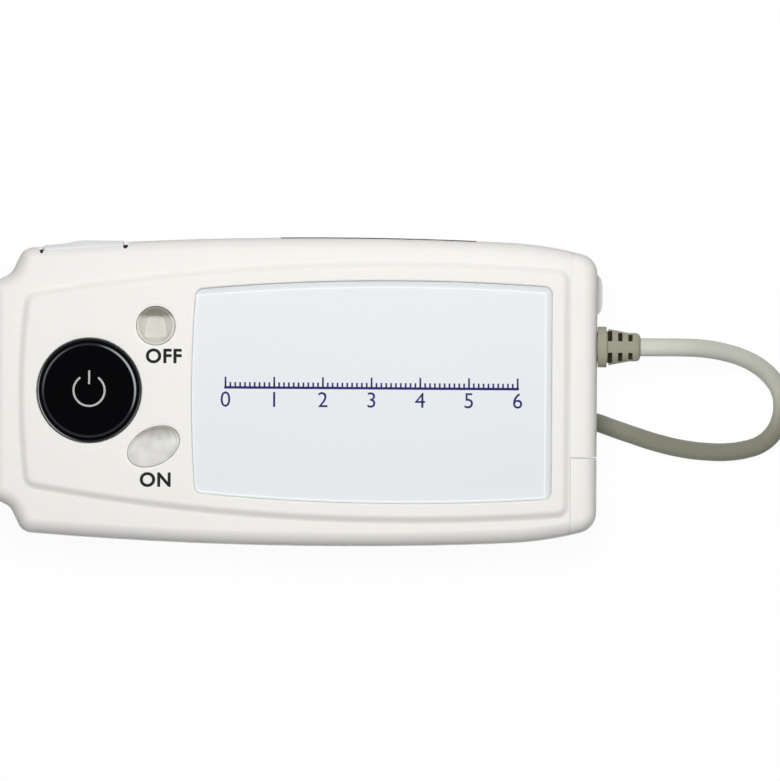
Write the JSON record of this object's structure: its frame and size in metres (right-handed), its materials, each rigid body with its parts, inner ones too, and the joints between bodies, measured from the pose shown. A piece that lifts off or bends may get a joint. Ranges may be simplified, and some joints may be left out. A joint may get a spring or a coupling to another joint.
{
  "type": "handheld heart monitor",
  "caption": "Handheld heart monitor with a round key, two small keys, a wide window, metal electrodes and a captive lead looped back to a stowed plug.",
  "frame": {"origin": "middle of the flat base, on the surface that the monitor lies on", "axes": "+X towards the end that the lead leaves, +Y towards the side with the finger electrode, +Z out of the front face"},
  "size_m": [0.1662, 0.0636, 0.0227],
  "materials": {
    "housing_white": "fine satin moulding, warm white",
    "strap_white": "satin, warm white",
    "window_pale": "clear hard window over a pale blue-grey field",
    "tape_dark": "black bonding tape",
    "panel_grey": "display glass and light plate",
    "frame_grey": "moulded frame",
    "key_black": "deep gloss black with a plain silver printed standby mark",
    "key_pearl": "pearl grey-beige, satin",
    "dark_plastic": "black moulding",
    "board_green": "solder mask",
    "plate_steel": "nickel-plated steel",
    "header_ivory": "ivory moulding",
    "cord_grey": "soft matte warm grey jacket",
    "boot_grey": "soft matte warm grey moulding",
    "electrode_metal": "satin nickel-plated electrode",
    "contact_gold": "gold-plated contact",
    "cell_wrap": "plain printed wrap"
  },
  "bodies": {
    "housing": {"front_shell": "housing_white", "rear_shell": "housing_white", "end_cap": "housing_white", "strap_bar": "strap_white", "display_lens": "window_pale", "lens_tape": "tape_dark", "display_panel": "panel_grey", "display_light": "panel_grey", "display_frame": "frame_grey", "tact_switches": "dark_plastic", "main_board": "board_green", "main_chip": "dark_plastic", "shield_can": "plate_steel", "buzzer": "dark_plastic", "cable_header": "header_ivory", "cable_core": "cord_grey", "lead_socket": "dark_plastic", "finger_electrode": "electrode_metal", "chest_electrode": "electrode_metal", "palm_electrode": "electrode_metal", "electrode_contacts": "contact_gold", "battery_left": "cell_wrap", "battery_right": "cell_wrap", "battery_contacts": "plate_steel", "case_screws": "plate_steel", "board_screws": "plate_steel", "cable_boot": "boot_grey", "cord_run": "cord_grey", "plug_grip": "boot_grey", "plug_shell": "plate_steel", "plug_tongue": "header_ivory"},
    "main_key_body": {"main_key": "key_black"},
    "stop_key_body": {"stop_key": "key_pearl"},
    "start_key_body": {"start_key": "key_pearl"},
    "battery_door_body": {"battery_door": "housing_white"},
    "port_cover_body": {"port_cover": "housing_white"}
  },
  "joints": [
    {"name": "main_key_press", "type": "slide", "parent": "housing", "child": "main_key_body", "axis": [0, 0, -1], "range_m": [0, 0.0006], "stiffness_N_per_m": 400},
    {"name": "stop_key_press", "type": "slide", "parent": "housing", "child": "stop_key_body", "axis": [0, 0, -1], "range_m": [0, 0.0006], "stiffness_N_per_m": 400},
    {"name": "start_key_press", "type": "slide", "parent": "housing", "child": "start_key_body", "axis": [0, 0, -1], "range_m": [0, 0.0006], "stiffness_N_per_m": 400},
    {"name": "battery_door_slide", "type": "slide", "parent": "housing", "child": "battery_door_body", "axis": [-1, 0, 0], "range_m": [0, 0.045]},
    {"name": "port_cover_pull", "type": "slide", "parent": "housing", "child": "port_cover_body", "axis": [1, 0, 0], "range_m": [0, 0.0045]}
  ]
}
